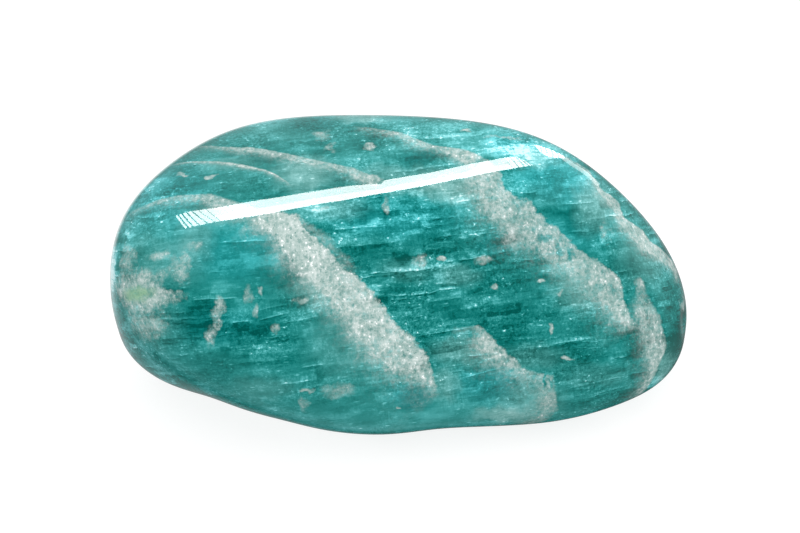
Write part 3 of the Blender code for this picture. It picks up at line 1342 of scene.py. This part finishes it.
GLINTS = (
    Glint(
        "long_lamp",
        ((206, 209), (225, 206.5), (250, 201.5), (280, 197), (300, 193.5), (320, 190.5), (338, 187.4),
         (365, 184.4), (381, 184.2), (385, 180.3), (402, 177.2), (428, 173.2), (443, 170), (466, 165),
         (491, 160.4), (504, 157.8)),
        ((221, 221), (237, 218.5), (259, 215.2), (285, 210.4), (303, 207), (323, 203.3), (341, 200.7),
         (366, 196), (383, 193.2), (389, 192.1), (405, 189.5), (430, 184.8), (445, 181.9), (468, 177),
         (493, 172), (513, 168.6)),
    ),
    Glint(
        "edge_line",
        ((566, 157), (574, 163.5), (584, 169.5), (592, 176), (600, 184)),
        ((562, 159.5), (571, 166), (581, 172), (589, 178.5), (597, 186.5)),
        ((1.0, 4.0),),
    ),
)


@dataclass(frozen=True)
class Comb:
    """A row of lamp slats, given by the pixels of their left edges' tops and feet in the photograph, the last
    of them the right edge, and by the gaps between them in pixels."""

    name: str
    tops: tuple[Pixel, ...]
    feet: tuple[Pixel, ...]
    gaps: tuple[float, ...]
    bright: float
    between: float = 0.0

    def glints(self) -> tuple[Glint, ...]:
        """Parts the comb into lamps.

        Returns:
            Each slat as a lamp of its own, and each gap as a dim one where the gaps glow.
        """
        made = []
        for index, gap in enumerate(self.gaps):
            top, next_top = self.tops[index:index + 2]
            foot, next_foot = self.feet[index:index + 2]
            end_top, end_foot = (next_top[0] - gap, next_top[1]), (next_foot[0] - gap, next_foot[1])
            slat = ((1.0, self.bright),)
            made.append(Glint(f"{self.name}_{index}", (top, end_top), (foot, end_foot), slat))
            if self.between:
                dim, name = ((1.0, self.between),), f"{self.name}_gap_{index}"
                made.append(Glint(name, (end_top, next_top), (end_foot, next_foot), dim))
        return tuple(made)


COMBS = (
    Comb(
        "left_slat",
        ((175.8, 215.8), (179.2, 214.8), (182.8, 213.7), (187.4, 212.2), (192.6, 211.2), (198.6, 210.2),
         (206, 209)),
        ((185.2, 228.7), (189.4, 227.5), (194, 226.3), (200.4, 225.1), (208.6, 223.4), (215.6, 222.1),
         (221, 221)),
        (2.1, 2.0, 1.9, 1.6, 1.2, 0.9),
        16.0,
    ),
    Comb(
        "right_slat",
        ((504, 157.8), (510, 157), (516, 156.6), (520, 157.6), (523.5, 159.3), (526, 161)),
        ((513, 168.6), (519.5, 167.4), (525, 166.6), (529.5, 166), (533, 165.6), (535, 165.4)),
        (1.2, 1.5, 1.6, 1.5, 1.2),
        20.0,
        4.5,
    ),
    Comb(
        "end_slat",
        ((533.8, 144.7), (539.5, 145.7), (545.5, 147.5), (552, 149.8), (558, 152.8), (564, 156)),
        ((537.5, 149), (542.5, 153.6), (547.5, 155.8), (553.5, 157.2), (559.5, 158.2), (566, 159)),
        (0.8, 1.0, 1.3, 1.5, 0.2),
        14.0,
        3.5,
    ),
)


def add_faces(name: str, points: Rows, squares: Rows, material: bpy.types.Material) -> bpy.types.Object:
    """Puts a few faces into the scene as one object.

    Args:
        name: Its name.
        points: Its points in metres.
        squares: Its four-cornered faces.
        material: What it is made of.

    Returns:
        The new object.
    """
    mesh = bpy.data.meshes.new(name)
    mesh.from_pydata(points, [], squares)
    mesh.materials.append(material)
    made = bpy.data.objects.new(name, mesh)
    bpy.context.scene.collection.objects.link(made)
    return made


@dataclass(frozen=True)
class Studio:
    """A plain pale floor, soft light from all round, and lamps overhead that show as white lines. The room's
    rises go by how far a mirrored way points up, back, right or away from the camera."""

    view: PhotoView
    floor_size: float = 4.0
    floor_white: float = 0.24
    floor_glow: float = 0.82
    floor_dim: float = 0.28
    lamp_distance: float = 0.5
    room_light: float = 1.06
    side_light: float = 0.55
    side_bearing_deg: float = 75.0
    side_rise_deg: float = 60.0
    behind: Rise = Rise(-0.10, 0.30)
    front: Rise = Rise(0.30, -0.30, 0.18)
    back_low: Rise = Rise(-1.10, -0.40, 0.20)
    back_level: Rise = Rise(-0.35, 0.15, 0.30)
    back_high: Rise = Rise(0.70, 0.95, 0.20)
    rim_near: Rise = Rise(0.78, 0.99)
    rim_upper: Rise = Rise(-0.75, -0.45)
    rim_left: Rise = Rise(0.24, -0.35)
    rim_rises: float = 0.80
    rim_least: float = 0.20

    def add_floor(self) -> None:
        """Adds the floor as one large square that glows a little, so that the stone's shadow stays light. The
        stone mirrors the room's lower half instead of it."""
        material, desk = new_look("pale_floor")
        matt_ray = desk.node("ShaderNodeLightPath", {}, {}, "Is Diffuse Ray")
        surface = {
            "Base Color": (self.floor_white,) * 3 + (1.0,),
            "Roughness": 1.0,
            "Specular IOR Level": 0.0,
            "Emission Color": WHITE,
            "Emission Strength": self.floor_glow - matt_ray * self.floor_dim,
        }
        desk.end("ShaderNodeBsdfPrincipled", surface)
        half = self.floor_size / 2
        corners = [(-half, -half, 0), (half, -half, 0), (half, half, 0), (-half, half, 0)]
        floor = add_faces("floor", corners, [(0, 1, 2, 3)], material)
        floor.visible_glossy = False

    def add_lamp(self, stone: Stone, core: np.ndarray, glint: Glint) -> None:
        """Adds a lamp where its reflection shows in the photograph.

        Each pixel of a band's edges is followed to the stone and mirrored there: twice the normal times its
        share of the way to the camera, less that way. The lamp is the band between the two edges' mirrored
        rays at the lamp's distance.

        Args:
            stone: The stone.
            core: The stone's core in the row frame, in metres.
            glint: The reflection.
        """
        upper, lower = np.array(glint.upper), np.array(glint.lower)
        start = 0.0
        for index, (end, radiance) in enumerate(glint.bands):
            pixels = np.concatenate([upper + (lower - upper) * start, upper + (lower - upper) * end])
            start = end
            seen = stone.seen_at(self.view, pixels)
            normals = stone.normals_at(seen)
            to_eye = unit(self.view.eye() - seen)
            mirrored = 2 * (normals * to_eye).sum(axis=1, keepdims=True) * normals - to_eye
            points = core + seen * MM + mirrored * self.lamp_distance
            first = np.arange(len(upper) - 1)
            squares = np.stack([first, first + 1, first + 1 + len(upper), first + len(upper)], axis=1)
            self.hang(f"{glint.name}_{index}", points, squares, radiance)

    def hang(self, name: str, points: np.ndarray, squares: np.ndarray, radiance: float) -> None:
        """Adds a glowing mesh that only reflections show.

        Args:
            name: Its name.
            points: Its points in metres.
            squares: Its four-cornered faces.
            radiance: How bright it is.
        """
        material, desk = new_look(name)
        desk.end("ShaderNodeEmission", {"Color": WHITE, "Strength": radiance})
        lamp = add_faces(name, points.tolist(), squares.tolist(), material)
        lamp.visible_diffuse = False
        lamp.visible_camera = False

    def add_room(self) -> None:
        """Adds light from all round: white to the eye and to matt surfaces. In reflections it is dark in
        front, grey behind and overhead, and white only far down behind the stone, which lights its rim."""
        world = bpy.data.worlds.new("soft_room")
        world.use_nodes = True
        desk = Desk(world.node_tree)
        way = desk.node("ShaderNodeTexCoord", {}, {}, "Generated")
        rise = desk.node("ShaderNodeSeparateXYZ", {}, {"Vector": way}, "Z")
        behind = self.behind.of(rise.output("Y"))
        front = self.front.of(rise)
        back = self.back_low.of(rise) + self.back_level.of(rise) - self.back_high.of(rise)
        near = self.rim_near.of(desk.along(way, -self.view.axes()[2]))
        upper = self.rim_upper.of(rise)
        left = self.rim_left.of(rise.output("X"))
        rim = near * (left * (upper * self.rim_rises + self.rim_least) + upper * self.rim_least)
        shine = behind * back + (1 - behind) * front + rim
        mirrored = desk.node("ShaderNodeLightPath", {}, {}, "Is Glossy Ray")
        side = desk.along(way, towards(self.side_bearing_deg, self.side_rise_deg))
        lit = self.room_light + side * self.side_light
        strength = lit * (1 - mirrored) + mirrored * shine
        desk.end("ShaderNodeBackground", {"Color": WHITE, "Strength": strength}, "ShaderNodeOutputWorld")
        bpy.context.scene.world = world


def add_mesh(name: str, points: np.ndarray, squares: np.ndarray, normals: np.ndarray) -> bpy.types.Object:
    """Puts a net into the scene as one smooth piece.

    Args:
        name: The piece's name.
        points: Its points in metres.
        squares: Its four-cornered faces.
        normals: The surface's own normals at the points, which keep long reflections straight.

    Returns:
        The new object.
    """
    mesh = bpy.data.meshes.new(name)
    mesh.vertices.add(len(points))
    mesh.vertices.foreach_set("co", points.astype(np.float32).ravel())
    mesh.loops.add(squares.size)
    mesh.loops.foreach_set("vertex_index", squares.astype(np.int32).ravel())
    mesh.polygons.add(len(squares))
    mesh.polygons.foreach_set("loop_start", np.arange(0, squares.size, 4, dtype=np.int32))
    mesh.update(calc_edges=True)
    mesh.validate()
    mesh.shade_smooth()
    mesh.normals_split_custom_set_from_vertices(normals.astype(np.float32))
    piece = bpy.data.objects.new(name, mesh)
    bpy.context.scene.collection.objects.link(piece)
    return piece


def main() -> None:
    """Builds the stone, the studio and the camera in order."""
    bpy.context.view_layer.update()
    logging.basicConfig(level=logging.INFO, format="%(name)s: %(message)s")
    view, stone = PhotoView(), Stone()
    studio = Studio(view)
    points, squares = stone.net()
    core = stone.core(points)
    view.add_camera(core)
    normals = stone.normals_at(points)
    normals[points[:, 2] <= -stone.rest_drop] = (0.0, 0.0, -1.0)
    piece = add_mesh("polished_pebble", core + points * MM, squares, normals)
    piece.data.materials.append(AmazoniteFinish(view, stone, core).make())
    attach(piece, "root")
    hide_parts(NODE)
    LOG.info("polished pebble: %d points, %d squares", len(points), len(squares))
    studio.add_floor()
    for glint in sum((comb.glints() for comb in COMBS), GLINTS):
        studio.add_lamp(stone, core, glint)
    studio.add_room()
    LOG.info("studio: floor, lamps and soft room")
    bpy.context.scene.view_settings.view_transform = "Standard"


if __name__ == "__main__":
    main()
